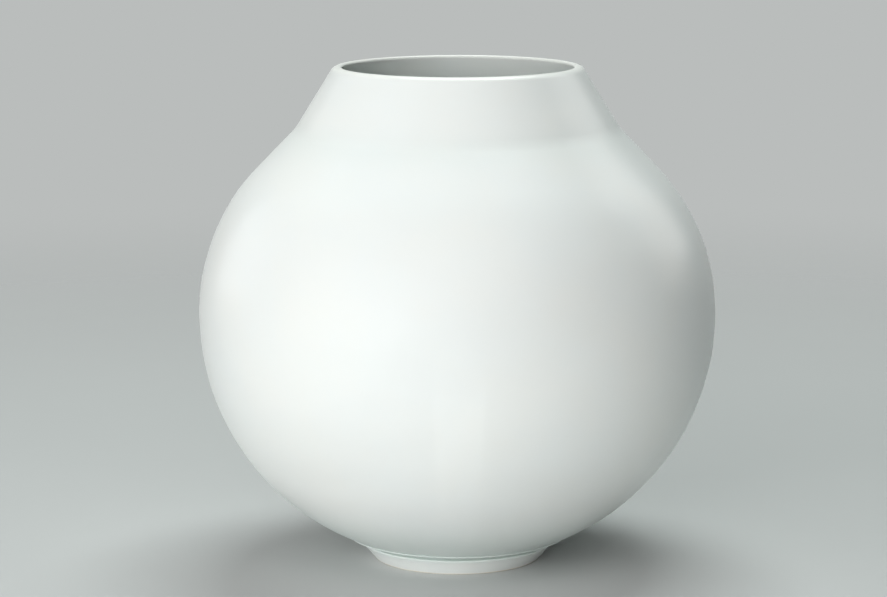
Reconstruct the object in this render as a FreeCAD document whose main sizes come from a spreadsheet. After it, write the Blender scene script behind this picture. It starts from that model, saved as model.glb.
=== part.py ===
import FreeCAD, Part
import math
import os
import Sketcher

# Moon jar: a large white porcelain jar of the Joseon kind. It is too big to throw in one piece, so two bowls
# are thrown and joined rim to rim at the belly. A collar thrown on the shoulder makes the mouth, and a foot
# ring is luted under the base. Slip is the liquid clay that glues each joint, and a coil of clay is pressed
# over the belly seam from inside. Millimetres, Z up, the jar's axis is Z and its foot stands on z = 0.

SIZES = {
    # The two bowls, joined at the belly: outer radius, height of the seam, and wall at the seam
    "belly_radius": 215.0,
    "seam_height": 208.5,
    "wall": 6.0,
    "slip_thickness": 1.0,
    "key_depth": 2.5,
    # Seat that is trimmed under the lower bowl for the foot ring, and the ridge of slip at its edge
    "seat_inset": 123.5,
    "seat_height": 20.5,
    "recess_depth": 9.0,
    "ridge_reach": 1.4,
    # Floor of the lower bowl: its flat part ends this far inside the seat's edge
    "floor_inset": 51.5,
    "floor_thickness": 8.5,
    # Foot ring: a groove is turned under the bowl. The face below it starts this far in from the seat's edge
    # and this far under it, and leans in to the ground
    "foot_step": 10.0,
    "foot_drop": 6.4,
    "groove_depth": 4.0,
    "foot_taper": 12.2,
    "foot_land": 9.0,
    "recess_draft": 2.3,
    "foot_bevel": 1.0,
    # Shoulder of the upper bowl: from the seam up and in to the neck, the last run of it straight
    "shoulder_rise": 153.5,
    "shoulder_inset": 80.5,
    "shoulder_run": 46.0,
    # Neck collar: its foot on the shoulder, then from the neck up and in to the corner that the lip rounds
    "collar_foot": 22.0,
    "collar_rise": 51.5,
    "collar_inset": 31.6,
    "collar_wall": 7.0,
    "neck_sweep": 50.0,
    "lip_roll_radius": 7.0,
    "lip_inner_radius": 1.8,
    # Coil over the belly seam, inside
    "coil_height": 28.0,
    "coil_bulge": 3.0,
}

doc = FreeCAD.newDocument("moon_jar")
sheet = doc.addObject("Spreadsheet::Sheet", "Sizes")
for row, (alias, size) in enumerate(SIZES.items(), start=1):
    sheet.set(f"A{row}", alias)
    sheet.set(f"B{row}", str(size))
    sheet.setAlias(f"B{row}", alias)
doc.recompute()

# Radii and heights that several pieces share, as expressions on the sheet
belly_radius = "Sizes.belly_radius"
inner_radius = "(Sizes.belly_radius - Sizes.wall)"
key_radius = "(Sizes.belly_radius - Sizes.wall / 2)"
coil_radius = "(Sizes.belly_radius - Sizes.wall - Sizes.coil_bulge)"
seam_bottom = "(Sizes.seam_height - Sizes.slip_thickness / 2)"
seam_top = "(Sizes.seam_height + Sizes.slip_thickness / 2)"
groove_height = f"({seam_bottom} - Sizes.key_depth)"
tongue_height = f"({seam_top} - Sizes.key_depth)"
coil_bottom = "(Sizes.seam_height - Sizes.coil_height / 2)"
coil_top = "(Sizes.seam_height + Sizes.coil_height / 2)"
seat_radius = "(Sizes.belly_radius - Sizes.seat_inset)"
floor_radius = f"({seat_radius} - Sizes.floor_inset)"
floor_height = "(Sizes.recess_depth + Sizes.floor_thickness)"
foot_top_radius = f"({seat_radius} - Sizes.foot_step)"
foot_top_height = "(Sizes.seat_height - Sizes.foot_drop)"
groove_radius = f"({foot_top_radius} - Sizes.groove_depth)"
foot_radius = f"({foot_top_radius} - Sizes.foot_taper)"
foot_inner_radius = f"({foot_radius} - Sizes.foot_land)"
recess_radius = f"({foot_inner_radius} - Sizes.recess_draft)"
neck_radius = "(Sizes.belly_radius - Sizes.shoulder_inset)"
neck_height = "(Sizes.seam_height + Sizes.shoulder_rise)"
lip_radius = f"({neck_radius} - Sizes.collar_inset)"
lip_height = f"({neck_height} + Sizes.collar_rise)"
inner_sweep = "(Sizes.neck_sweep + Sizes.wall)"
lip_roll = "min(Sizes.lip_roll_radius; Sizes.collar_wall)"

# Radius of the lower bowl's inside arc: it stands upright at the rim and passes through the floor's edge
floor_across = f"({inner_radius} - {floor_radius})"
floor_depth = f"({seam_bottom} - {floor_height})"
lower_inside_arc = f"(({floor_across} ^ 2 + {floor_depth} ^ 2) / (2 * {floor_across}))"

# Radius of the upper bowl's outside arc: it stands upright at the rim, and its tangent from the neck is as
# long as the shoulder's run. The shoulder's lean is that tangent's angle from upright
neck_rise = f"({neck_height} - {seam_top})"
neck_reach = f"({neck_rise} ^ 2 - Sizes.shoulder_run ^ 2)"
upper_arc = f"((Sizes.shoulder_inset ^ 2 + {neck_reach}) / (2 * Sizes.shoulder_inset))"
upper_inside_arc = f"({upper_arc} - Sizes.wall)"
neck_angle = f"atan2({neck_rise}; {upper_arc} - Sizes.shoulder_inset)"
shoulder_lean = f"({neck_angle} - atan2(Sizes.shoulder_run; {upper_arc}))"

# Outer corners of the slip under the collar, which follows the shoulder's lean
joint_radius = f"({neck_radius} + Sizes.collar_foot * sin({shoulder_lean}))"
joint_height = f"({neck_height} - Sizes.collar_foot * cos({shoulder_lean}))"
collar_foot_radius = f"({joint_radius} - Sizes.slip_thickness * tan({shoulder_lean}))"
collar_foot_height = f"({joint_height} + Sizes.slip_thickness)"

# Inner corners of the collar. Its shoulder side and its cone side cross inside the neck, this far along the
# shoulder from the point that is a wall's thickness under the neck's outer corner
inner_foot_radius = f"({collar_foot_radius} - Sizes.wall / cos({shoulder_lean}))"
cone_lean = "atan2(Sizes.collar_inset; Sizes.collar_rise)"
inner_lip_radius = f"({lip_radius} - Sizes.collar_wall / cos({cone_lean}))"
neck_turn = f"({shoulder_lean} - {cone_lean})"
crossing = f"((Sizes.collar_wall - Sizes.wall * cos({neck_turn})) / sin({neck_turn}))"
inner_neck_radius = f"({neck_radius} - Sizes.wall * cos({shoulder_lean}) - {crossing} * sin({shoulder_lean}))"
inner_neck_height = f"({neck_height} - Sizes.wall * sin({shoulder_lean}) + {crossing} * cos({shoulder_lean}))"

# The sketcher's numbers for the places on an edge, and for a sketch's own axes
START, END, CENTRE = range(1, 4)
HORIZONTAL_AXIS, VERTICAL_AXIS = range(-1, -3, -1)
QUARTER_TURN = math.pi / 2


def number(expression):
    """The value that an expression has now. An angle is in degrees."""
    result = sheet.evalExpression(expression)
    return float(getattr(result, "Value", result))


def at(radius, height):
    """The point of a profile at a distance from the jar's axis and at a height, both expressions."""
    return FreeCAD.Vector(number(radius), number(height), 0)


def polar(angle, length):
    """A step of a length, at an angle in radians from straight outwards."""
    return FreeCAD.Vector(length * math.cos(angle), length * math.sin(angle), 0)


def angle_of(step):
    return math.atan2(step.y, step.x)


def short_of(corner, other, width):
    """The point on the way from a corner to another point, a width away from the corner."""
    return corner + (other - corner).normalize() * width


class Profile:
    """A sketch on a body's own XZ plane: one side of a turned piece's cross-section. Its geometry is first
    drawn near its place, and its constraints then hold it there, with every size taken from the sheet."""

    def __init__(self, body):
        self.body = body
        self.sketch = body.newObject("Sketcher::SketchObject", body.Name + "_profile")
        planes = [plane for plane in body.Origin.OriginFeatures if plane.Role == "XZ_Plane"]
        self.sketch.AttachmentSupport = (planes[0], [""])
        self.sketch.MapMode = "FlatFace"

    def line(self, start, end, construction=False):
        return self.sketch.addGeometry(Part.LineSegment(start, end), construction)

    def arc(self, centre, start, end):
        """An arc that runs anticlockwise from start to end."""
        circle = Part.Circle(centre, FreeCAD.Vector(0, 0, 1), (start - centre).Length)
        arc = Part.ArcOfCircle(circle, angle_of(start - centre), angle_of(end - centre))
        return self.sketch.addGeometry(arc, False)

    def arc_through(self, start, middle, end):
        return self.sketch.addGeometry(Part.Arc(start, middle, end), False)

    def point(self, place):
        """A construction point, which steers the outline and isn't part of it."""
        return self.sketch.addGeometry(Part.Point(place), True)

    def hold(self, kind, *references):
        return self.sketch.addConstraint(Sketcher.Constraint(kind, *references))

    def join(self, *ends):
        """Joins edges at their ends, in pairs: the first place with the second, the third with the fourth."""
        for first, second in zip(ends[::2], ends[1::2]):
            self.hold("Coincident", *first, *second)

    def flow(self, *ends):
        """Joins edges at their ends, in pairs, and makes them tangent there."""
        for first, second in zip(ends[::2], ends[1::2]):
            self.hold("Tangent", *first, *second)

    def size(self, kind, *references, to):
        """A dimension that follows an expression."""
        index = self.hold(kind, *references, number(to))
        self.sketch.setExpression(f"Constraints[{index}]", to)

    def pin(self, place, radius, height):
        """Holds a point at a distance from the jar's axis and at a height."""
        self.size("DistanceX", *place, to=radius)
        self.size("DistanceY", *place, to=height)

    def round_off(self, edge, radius):
        """Rounds the corner at the end of an edge. Gives the arc, and the corner as a construction point."""
        self.sketch.fillet(edge, END, number(radius), True, True)
        return self.sketch.GeometryCount - 2, self.sketch.GeometryCount - 1

    def bevel(self, edge, next_edge, corner, width):
        """Joins two lines that stop short of their corner, which stays as a construction point, by a bevel
        that takes the same width off both."""
        cut = self.line(self.sketch.getPoint(edge, END), self.sketch.getPoint(next_edge, START))
        self.join((edge, END), (cut, START), (cut, END), (next_edge, START))
        corner_point = self.point(corner)
        self.hold("PointOnObject", corner_point, START, edge)
        self.hold("PointOnObject", corner_point, START, next_edge)
        self.size("Distance", edge, END, corner_point, START, to=width)
        self.size("Distance", next_edge, START, corner_point, START, to=width)
        return corner_point

    def turn(self):
        """Turns the closed profile all the way round the jar's axis."""
        solid = self.body.newObject("PartDesign::Revolution", self.body.Name + "_turned")
        solid.Profile = self.sketch
        solid.ReferenceAxis = (self.sketch, ["V_Axis"])
        solid.Angle = 360
        doc.recompute()


def new_profile(name):
    """Starts a piece of the jar: a body of its own, with the profile that it is turned from."""
    body = doc.addObject("PartDesign::Body", name)
    body.Label = name
    return Profile(body)


def level_arc(rim, end):
    """Radius of the arc that stands upright at the rim and passes through the end."""
    across = rim.x - end.x
    along = rim.y - end.y
    return (across ** 2 + along ** 2) / (2 * across)


def make_lower_bowl():
    """The lower bowl: an arc from the belly seam down to the foot's seat, and a flat underside inside the
    foot ring. Its wall grows thicker downwards, and its rim has a V groove that keys the seam."""
    profile = new_profile("lower_bowl")
    rim = at(belly_radius, seam_bottom)
    inner_rim = at(inner_radius, seam_bottom)
    groove = at(key_radius, groove_height)
    seat = at(seat_radius, "Sizes.seat_height")
    recess = at(recess_radius, "Sizes.recess_depth")
    floor_edge = at(floor_radius, floor_height)
    underside = FreeCAD.Vector(0, recess.y, 0)
    floor = FreeCAD.Vector(0, floor_edge.y, 0)

    wall = profile.arc(rim - polar(0, level_arc(rim, seat)), seat, rim)
    groove_outside = profile.line(rim, groove)
    groove_inside = profile.line(groove, inner_rim)
    inside = profile.arc(inner_rim - polar(0, level_arc(inner_rim, floor_edge)), floor_edge, inner_rim)
    floor_line = profile.line(floor_edge, floor)
    axis_line = profile.line(floor, underside)
    underside_line = profile.line(underside, recess)
    seat_line = profile.line(recess, seat)
    profile.join((wall, END), (groove_outside, START), (groove_outside, END), (groove_inside, START))
    profile.join((groove_inside, END), (inside, END), (inside, START), (floor_line, START))
    profile.join((floor_line, END), (axis_line, START), (axis_line, END), (underside_line, START))
    profile.join((underside_line, END), (seat_line, START), (seat_line, END), (wall, START))

    profile.hold("Horizontal", wall, CENTRE, wall, END)
    profile.hold("Horizontal", inside, CENTRE, inside, END)
    profile.hold("Horizontal", floor_line)
    profile.hold("Horizontal", underside_line)
    profile.hold("Vertical", axis_line)
    profile.hold("PointOnObject", axis_line, START, VERTICAL_AXIS)
    profile.pin((wall, END), belly_radius, seam_bottom)
    profile.pin((inside, END), inner_radius, seam_bottom)
    profile.pin((groove_outside, END), key_radius, groove_height)
    profile.pin((inside, START), floor_radius, floor_height)
    profile.pin((seat_line, START), recess_radius, "Sizes.recess_depth")
    profile.pin((seat_line, END), seat_radius, "Sizes.seat_height")
    profile.turn()


def make_upper_bowl():
    """The upper bowl: an arc from the belly seam, then a straight shoulder that points at the neck. It is
    thrown upside down, with a V tongue on its rim, and its opening is cut level once it is turned over."""
    profile = new_profile("upper_bowl")
    rim = at(belly_radius, seam_top)
    inner_rim = at(inner_radius, seam_top)
    tongue = at(key_radius, tongue_height)
    neck = at(neck_radius, neck_height)
    centre = rim - polar(0, number(upper_arc))
    lean = math.radians(number(shoulder_lean))
    bend = centre + polar(lean, number(upper_arc))
    inner_bend = centre + polar(lean, number(upper_inside_arc))
    joint = at(joint_radius, joint_height)
    inner_joint = joint - polar(0, number("Sizes.wall") / math.cos(lean))

    wall = profile.arc(centre, rim, bend)
    shoulder = profile.line(bend, joint)
    opening = profile.line(joint, inner_joint)
    inner_shoulder = profile.line(inner_joint, inner_bend)
    inside = profile.arc(centre, inner_rim, inner_bend)
    tongue_inside = profile.line(inner_rim, tongue)
    tongue_outside = profile.line(tongue, rim)
    neck_point = profile.point(neck)
    profile.flow((wall, END), (shoulder, START), (inner_shoulder, END), (inside, END))
    profile.join((shoulder, END), (opening, START), (opening, END), (inner_shoulder, START))
    profile.join((inside, START), (tongue_inside, START), (tongue_inside, END), (tongue_outside, START))
    profile.join((tongue_outside, END), (wall, START), (wall, CENTRE), (inside, CENTRE))

    profile.hold("Horizontal", wall, CENTRE, wall, START)
    profile.hold("Horizontal", inside, CENTRE, inside, START)
    profile.hold("Horizontal", opening)
    profile.hold("Parallel", shoulder, inner_shoulder)
    profile.hold("PointOnObject", neck_point, START, shoulder)
    profile.pin((wall, START), belly_radius, seam_top)
    profile.pin((tongue_inside, END), key_radius, tongue_height)
    profile.pin((neck_point, START), neck_radius, neck_height)
    profile.size("DistanceX", inside, START, to=inner_radius)
    profile.size("Distance", shoulder, START, neck_point, START, to="Sizes.shoulder_run")
    profile.size("Distance", shoulder, END, neck_point, START, to="Sizes.collar_foot")
    profile.turn()


def make_belly_slip():
    """The slip in the belly seam: an even layer between the groove and the tongue, flush with both walls."""
    profile = new_profile("belly_slip")
    corners = [
        (belly_radius, seam_bottom),
        (belly_radius, seam_top),
        (key_radius, tongue_height),
        (inner_radius, seam_top),
        (inner_radius, seam_bottom),
        (key_radius, groove_height),
    ]
    edges = [profile.line(at(*corners[i - 1]), at(*corners[i])) for i in range(len(corners))]
    for i, edge in enumerate(edges):
        profile.join((edges[i - 1], END), (edge, START))
        profile.pin((edge, END), *corners[i])
    profile.turn()


def make_belly_coil():
    """The coil over the belly seam: clay pressed on both inner walls and smoothed to a low round ridge."""
    profile = new_profile("belly_coil")
    lower_rim = at(inner_radius, seam_bottom)
    upper_rim = at(inner_radius, seam_top)
    lower_arc = number(lower_inside_arc)
    upper_arc = number(upper_inside_arc)
    lower_centre = lower_rim - polar(0, lower_arc)
    upper_centre = upper_rim - polar(0, upper_arc)
    coil_foot = lower_centre + polar(math.asin((number(coil_bottom) - lower_rim.y) / lower_arc), lower_arc)
    coil_head = upper_centre + polar(math.asin((number(coil_top) - upper_rim.y) / upper_arc), upper_arc)
    crest = at(coil_radius, "Sizes.seam_height")

    on_lower_wall = profile.arc(lower_centre, coil_foot, lower_rim)
    on_slip = profile.line(lower_rim, upper_rim)
    on_upper_wall = profile.arc(upper_centre, upper_rim, coil_head)
    ridge = profile.arc_through(coil_head, crest, coil_foot)
    crest_point = profile.point(crest)
    profile.join((on_lower_wall, END), (on_slip, START), (on_slip, END), (on_upper_wall, START))
    profile.join((on_upper_wall, END), (ridge, START), (ridge, END), (on_lower_wall, START))

    profile.hold("Horizontal", on_lower_wall, CENTRE, on_lower_wall, END)
    profile.hold("Horizontal", on_upper_wall, CENTRE, on_upper_wall, START)
    profile.hold("PointOnObject", crest_point, START, ridge)
    profile.pin((on_slip, START), inner_radius, seam_bottom)
    profile.pin((on_slip, END), inner_radius, seam_top)
    profile.pin((crest_point, START), coil_radius, "Sizes.seam_height")
    profile.size("Radius", on_lower_wall, to=lower_inside_arc)
    profile.size("Radius", on_upper_wall, to=upper_inside_arc)
    profile.size("DistanceY", on_lower_wall, START, to=coil_bottom)
    profile.size("DistanceY", on_upper_wall, END, to=coil_top)
    profile.turn()


def make_collar_slip():
    """The slip under the collar: a level layer on the opening, its two sides in line with the shoulder."""
    profile = new_profile("collar_slip")
    joint = at(joint_radius, joint_height)
    top = at(collar_foot_radius, collar_foot_height)
    across = polar(0, number("Sizes.wall") / math.cos(math.radians(number(shoulder_lean))))

    outer_side = profile.line(joint, top)
    top_line = profile.line(top, top - across)
    inner_side = profile.line(top - across, joint - across)
    bottom_line = profile.line(joint - across, joint)
    profile.join((outer_side, END), (top_line, START), (top_line, END), (inner_side, START))
    profile.join((inner_side, END), (bottom_line, START), (bottom_line, END), (outer_side, START))

    profile.hold("Horizontal", top_line)
    profile.hold("Horizontal", bottom_line)
    profile.hold("Parallel", inner_side, outer_side)
    profile.pin((outer_side, START), joint_radius, joint_height)
    profile.pin((outer_side, END), collar_foot_radius, collar_foot_height)
    profile.size("Distance", inner_side, END, outer_side, to="Sizes.wall")
    profile.turn()


def make_neck_collar():
    """The neck collar: its foot carries the shoulder on, sweeps up into a straight cone, and ends in a lip
    that is wiped level, rounded wide outside and tight inside. Six corners steer it, and four are rounded."""
    profile = new_profile("neck_collar")
    foot = (collar_foot_radius, collar_foot_height)
    neck = (neck_radius, neck_height)
    lip = (lip_radius, lip_height)
    inner_lip = (inner_lip_radius, lip_height)
    inner_neck = (inner_neck_radius, inner_neck_height)
    inner_foot = (inner_foot_radius, collar_foot_height)

    foot_side = profile.line(at(*foot), at(*neck))
    cone = profile.line(at(*neck), at(*lip))
    lip_line = profile.line(at(*lip), at(*inner_lip))
    inner_cone = profile.line(at(*inner_lip), at(*inner_neck))
    inner_side = profile.line(at(*inner_neck), at(*inner_foot))
    bottom_line = profile.line(at(*inner_foot), at(*foot))
    profile.join((foot_side, END), (cone, START), (cone, END), (lip_line, START))
    profile.join((lip_line, END), (inner_cone, START), (inner_cone, END), (inner_side, START))
    profile.join((inner_side, END), (bottom_line, START), (bottom_line, END), (foot_side, START))

    neck_arc, neck_corner = profile.round_off(foot_side, "Sizes.neck_sweep")
    inner_neck_arc, inner_neck_corner = profile.round_off(inner_cone, inner_sweep)
    lip_arc, lip_corner = profile.round_off(cone, lip_roll)
    inner_lip_arc, inner_lip_corner = profile.round_off(lip_line, "Sizes.lip_inner_radius")

    profile.pin((foot_side, START), *foot)
    profile.pin((neck_corner, START), *neck)
    profile.pin((lip_corner, START), *lip)
    profile.pin((inner_lip_corner, START), *inner_lip)
    profile.pin((inner_neck_corner, START), *inner_neck)
    profile.pin((inner_side, END), *inner_foot)
    profile.size("Radius", neck_arc, to="Sizes.neck_sweep")
    profile.size("Radius", lip_arc, to=lip_roll)
    profile.size("Radius", inner_lip_arc, to="Sizes.lip_inner_radius")
    profile.size("Radius", inner_neck_arc, to=inner_sweep)
    profile.turn()


def foot_seam():
    """The seat's inner and outer ends, its direction outwards, and the slip's lower corner at the recess."""
    recess = at(recess_radius, "Sizes.recess_depth")
    seat = at(seat_radius, "Sizes.seat_height")
    outwards = (seat - recess).normalize()
    drop = number("Sizes.slip_thickness") / outwards.x
    return recess, seat, outwards, recess - polar(QUARTER_TURN, drop)


def make_foot_slip():
    """The slip on the foot's seat: an even layer, squeezed out at the seat's edge and wiped to a ridge."""
    profile = new_profile("foot_slip")
    recess, seat, outwards, corner = foot_seam()
    downwards = polar(angle_of(outwards) - QUARTER_TURN, number("Sizes.slip_thickness"))
    edge = seat + downwards
    ridge = seat + downwards / 2 + outwards * number("Sizes.ridge_reach")

    top_line = profile.line(recess, seat)
    ridge_top = profile.line(seat, ridge)
    ridge_bottom = profile.line(ridge, edge)
    bottom_line = profile.line(edge, corner)
    end_line = profile.line(corner, recess)
    edge_line = profile.line(seat, edge, construction=True)
    profile.join((top_line, END), (ridge_top, START), (ridge_top, END), (ridge_bottom, START))
    profile.join((ridge_bottom, END), (bottom_line, START), (bottom_line, END), (end_line, START))
    profile.join((end_line, END), (top_line, START))
    profile.join((edge_line, START), (top_line, END), (edge_line, END), (bottom_line, START))

    profile.hold("Vertical", end_line)
    profile.hold("Parallel", bottom_line, top_line)
    profile.hold("Perpendicular", edge_line, top_line)
    profile.hold("Equal", ridge_top, ridge_bottom)
    profile.pin((top_line, START), recess_radius, "Sizes.recess_depth")
    profile.pin((top_line, END), seat_radius, "Sizes.seat_height")
    profile.size("Distance", edge_line, to="Sizes.slip_thickness")
    profile.size("Distance", ridge_top, END, edge_line, to="Sizes.ridge_reach")
    profile.turn()


def make_foot_ring():
    """The foot ring: its top is cut to the seat's slope and falls away in the groove, its face leans in to
    the ground, and the three edges that a hand can reach are bevelled."""
    profile = new_profile("foot_ring")
    recess, seat, outwards, corner = foot_seam()
    groove_root = corner + outwards * ((number(groove_radius) - corner.x) / outwards.x)
    face_top = at(foot_top_radius, foot_top_height)
    ground_end = at(foot_radius, "0")
    ground_start = at(foot_inner_radius, "0")
    cut = number("Sizes.foot_bevel")

    seat_line = profile.line(recess, seat, construction=True)
    top_line = profile.line(corner, groove_root)
    groove_line = profile.line(groove_root, short_of(face_top, groove_root, cut))
    face_line = profile.line(short_of(face_top, ground_end, cut), short_of(ground_end, face_top, cut))
    ground_line = profile.line(
        short_of(ground_end, ground_start, cut), short_of(ground_start, ground_end, cut))
    inner_line = profile.line(short_of(ground_start, corner, cut), corner)
    profile.join((inner_line, END), (top_line, START), (top_line, END), (groove_line, START))
    face_corner = profile.bevel(groove_line, face_line, face_top, "Sizes.foot_bevel")
    outer_corner = profile.bevel(face_line, ground_line, ground_end, "Sizes.foot_bevel")
    inner_corner = profile.bevel(ground_line, inner_line, ground_start, "Sizes.foot_bevel")

    profile.hold("Parallel", top_line, seat_line)
    profile.hold("Horizontal", ground_line)
    profile.hold("PointOnObject", outer_corner, START, HORIZONTAL_AXIS)
    profile.pin((seat_line, START), recess_radius, "Sizes.recess_depth")
    profile.pin((seat_line, END), seat_radius, "Sizes.seat_height")
    profile.size("Distance", top_line, START, seat_line, to="Sizes.slip_thickness")
    profile.size("DistanceX", top_line, START, to=recess_radius)
    profile.size("DistanceX", top_line, END, to=groove_radius)
    profile.pin((face_corner, START), foot_top_radius, foot_top_height)
    profile.size("DistanceX", outer_corner, START, to=foot_radius)
    profile.size("DistanceX", inner_corner, START, to=foot_inner_radius)
    profile.turn()


make_lower_bowl()
make_upper_bowl()
make_belly_slip()
make_belly_coil()
make_collar_slip()
make_neck_collar()
make_foot_slip()
make_foot_ring()

for item in doc.Objects:
    if {"Invalid", "Error"} & set(item.State):
        raise RuntimeError(f"{item.Label} failed: {item.State}")
    if item.isDerivedFrom("Sketcher::SketchObject") and not item.FullyConstrained:
        raise RuntimeError(f"{item.Label} can still move")
pieces = [item for item in doc.Objects if item.isDerivedFrom("PartDesign::Body")]
for piece in pieces:
    if piece.Shape.isNull() or not piece.Shape.isValid() or len(piece.Shape.Solids) != 1:
        raise RuntimeError(f"{piece.Label} is not one sound solid")

os.makedirs("parts", exist_ok=True)
for piece in pieces:
    piece.Shape.exportStep(f"parts/{piece.Label}.step")
    print(f"{piece.Label}: {piece.Shape.Volume:.0f} cubic millimetres")
print(f"height {number(lip_height):.1f}, across the belly {2 * number(belly_radius):.1f}")
print(f"lip {2 * number(lip_radius):.1f}, foot {2 * number(foot_radius):.1f} across")
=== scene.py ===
# %% [markdown]
# # A moon jar, glazed and lit
#
# A moon jar is a large white porcelain jar. It is too big to throw in one piece, so two bowls are thrown and
# joined rim to rim at the belly, a collar is thrown on top for the mouth, and a foot ring is luted below.
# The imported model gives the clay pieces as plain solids. This notebook dresses each of them: the same
# section, turned as a fine surface, with the unevenness of a hand-thrown jar and a milky glaze.
#
# Everything is in metres and in the model's own frame: Z is up, the jar's axis is Z, and it stands on z = 0.

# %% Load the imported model
import math
import bpy
import numpy as np
from mathutils import Matrix, Vector


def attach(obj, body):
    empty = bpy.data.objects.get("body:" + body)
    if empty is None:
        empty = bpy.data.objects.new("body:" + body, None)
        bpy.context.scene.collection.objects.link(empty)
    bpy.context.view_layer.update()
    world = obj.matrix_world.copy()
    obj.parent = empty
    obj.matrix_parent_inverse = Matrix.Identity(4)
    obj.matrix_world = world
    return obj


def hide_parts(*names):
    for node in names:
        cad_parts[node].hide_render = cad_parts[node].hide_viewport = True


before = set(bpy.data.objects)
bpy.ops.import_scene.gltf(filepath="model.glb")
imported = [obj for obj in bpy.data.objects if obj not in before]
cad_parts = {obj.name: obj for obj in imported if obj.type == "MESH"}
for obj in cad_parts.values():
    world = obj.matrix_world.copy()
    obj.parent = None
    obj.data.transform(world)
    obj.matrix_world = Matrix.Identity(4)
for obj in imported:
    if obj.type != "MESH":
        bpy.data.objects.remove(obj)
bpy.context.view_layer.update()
MM = 0.001
print("nodes:", sorted(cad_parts))

# %% [markdown]
# ## The section
#
# Every piece of the jar is turned, so its shape is one closed line: the section through its wall. A potter
# checks it with a template, and here it is built the same way, from runs of straight line and arc. One could
# trace the section as a long list of points, but runs keep the sizes readable and give the exact direction
# of the surface at every point, which the shading needs later.
#
# Each run is a pair of arrays: points (radius, height) and the direction of travel at those points. All
# sections run anticlockwise: out along the underside, up the outside, and back down the inside. The rows of
# points lie closer together where light shows every facet, and wider where a face is inside or hidden.

# %% Runs of a section
ROW_STEP = 2.0 * MM
INSIDE_STEP = 2.5 * MM
FLOOR_STEP = 3.0 * MM
HIDDEN_STEP = 6.0 * MM
LONGEST_TURN = 0.2


def straight(start, end, step=ROW_STEP):
    """Points on a line: start + share * (end - start), for shares from 0 to 1. The direction is constant."""
    start, end = np.asarray(start, float), np.asarray(end, float)
    length = np.linalg.norm(end - start)
    shares = np.linspace(0.0, 1.0, max(1, math.ceil(length / step)) + 1)[:, None]
    points = start + shares * (end - start)
    return points, np.broadcast_to((end - start) / length, points.shape)


def arc(centre, radius, start, end, step=ROW_STEP):
    """Points on a circle: centre + radius * (cos, sin) of an angle that runs from start to end, in radians.
    The direction is the circle's tangent, which points back when the angle falls."""
    sweep = abs(end - start)
    count = max(2, math.ceil(sweep * radius / step), math.ceil(sweep / LONGEST_TURN))
    angle = np.linspace(start, end, count + 1)
    outwards = np.stack([np.cos(angle), np.sin(angle)], axis=1)
    along = np.stack([-np.sin(angle), np.cos(angle)], axis=1) * np.sign(end - start)
    return np.asarray(centre, float) + radius * outwards, along


def backwards(run):
    """The same run travelled the other way."""
    points, along = run
    return points[::-1], -along[::-1]


def unit(angle):
    """The direction (cos, sin) of an angle."""
    return np.array([math.cos(angle), math.sin(angle)])


def direction(vector):
    """The angle of a vector from the horizontal, the reverse of unit."""
    return math.atan2(vector[1], vector[0])


print("a test run has", len(straight((0, 0), (0.1, 0))[0]), "points")

# %% [markdown]
# ## The jar's sizes
#
# These are the sizes that a potter would write beside the template: the belly, the seam, the seat of the
# foot, the shoulder and the lip. Each bowl's outside is an arc that stands upright at the belly, so its
# radius follows from where it has to arrive.

# %% Sizes of the clay
BELLY = np.array([215.0, 208.0]) * MM
SLIP = 1.0 * MM
WALL = 6.0 * MM
KEY_DEPTH = 2.5 * MM
SEAT = np.array([91.5, 20.5]) * MM
RECESS = np.array([57.5, 9.0]) * MM
FLOOR_EDGE = np.array([40.0, 17.5]) * MM
NECK = np.array([134.5, 362.0]) * MM
SHOULDER_RUN = 46.0 * MM
COLLAR_FOOT = 22.0 * MM
NECK_SWEEP = 50.0 * MM
COLLAR_WALL = 7.0 * MM
LIP = np.array([99.0, 413.5]) * MM
LIP_ROUND = 7.0 * MM
LIP_INNER_ROUND = 1.8 * MM


def level_radius(rim, end):
    """Radius of the arc that is upright at the rim and passes through the end:
    (across² + along²) / (2 across)."""
    across, along = rim - end
    return (across ** 2 + along ** 2) / (2 * across)


lower_radius = level_radius(BELLY, SEAT)
lower_centre = BELLY - [lower_radius, 0]
inner_rim = BELLY - [WALL, 0]
inner_lower_radius = level_radius(inner_rim, FLOOR_EDGE)
inner_lower_centre = inner_rim - [inner_lower_radius, 0]
print("lower bowl's arcs in mm:", round(lower_radius / MM, 1), round(inner_lower_radius / MM, 1))

# %% [markdown]
# Above the belly the wall is an arc, then a straight run up the shoulder, a sweep at the neck, a cone and
# the lip. Each part touches the next without a kink, so the potter chooses only the sizes above and the
# slopes follow. A slope is kept as the angle by which the wall leans inwards from upright. The collar is a
# piece of its own, and the seam below it lies part of the way up the straight run.

# %% The shoulder and the neck
upper_rim = BELLY + [0, SLIP]
inset, rise = (upper_rim - NECK) * [1, -1]
upper_radius = (inset ** 2 + rise ** 2 - SHOULDER_RUN ** 2) / (2 * inset)
upper_centre = upper_rim - [upper_radius, 0]
to_neck = NECK - upper_centre
lean = direction(to_neck) - math.atan2(SHOULDER_RUN, upper_radius)
up_shoulder = unit(lean + math.pi / 2)
bend = upper_centre + upper_radius * unit(lean)
inner_bend = bend - WALL * unit(lean)
joint = NECK - COLLAR_FOOT * up_shoulder
inner_joint = joint - [WALL / math.cos(lean), 0]
collar_foot = joint + up_shoulder * SLIP / math.cos(lean)
inner_collar_foot = inner_joint + up_shoulder * SLIP / math.cos(lean)

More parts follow.
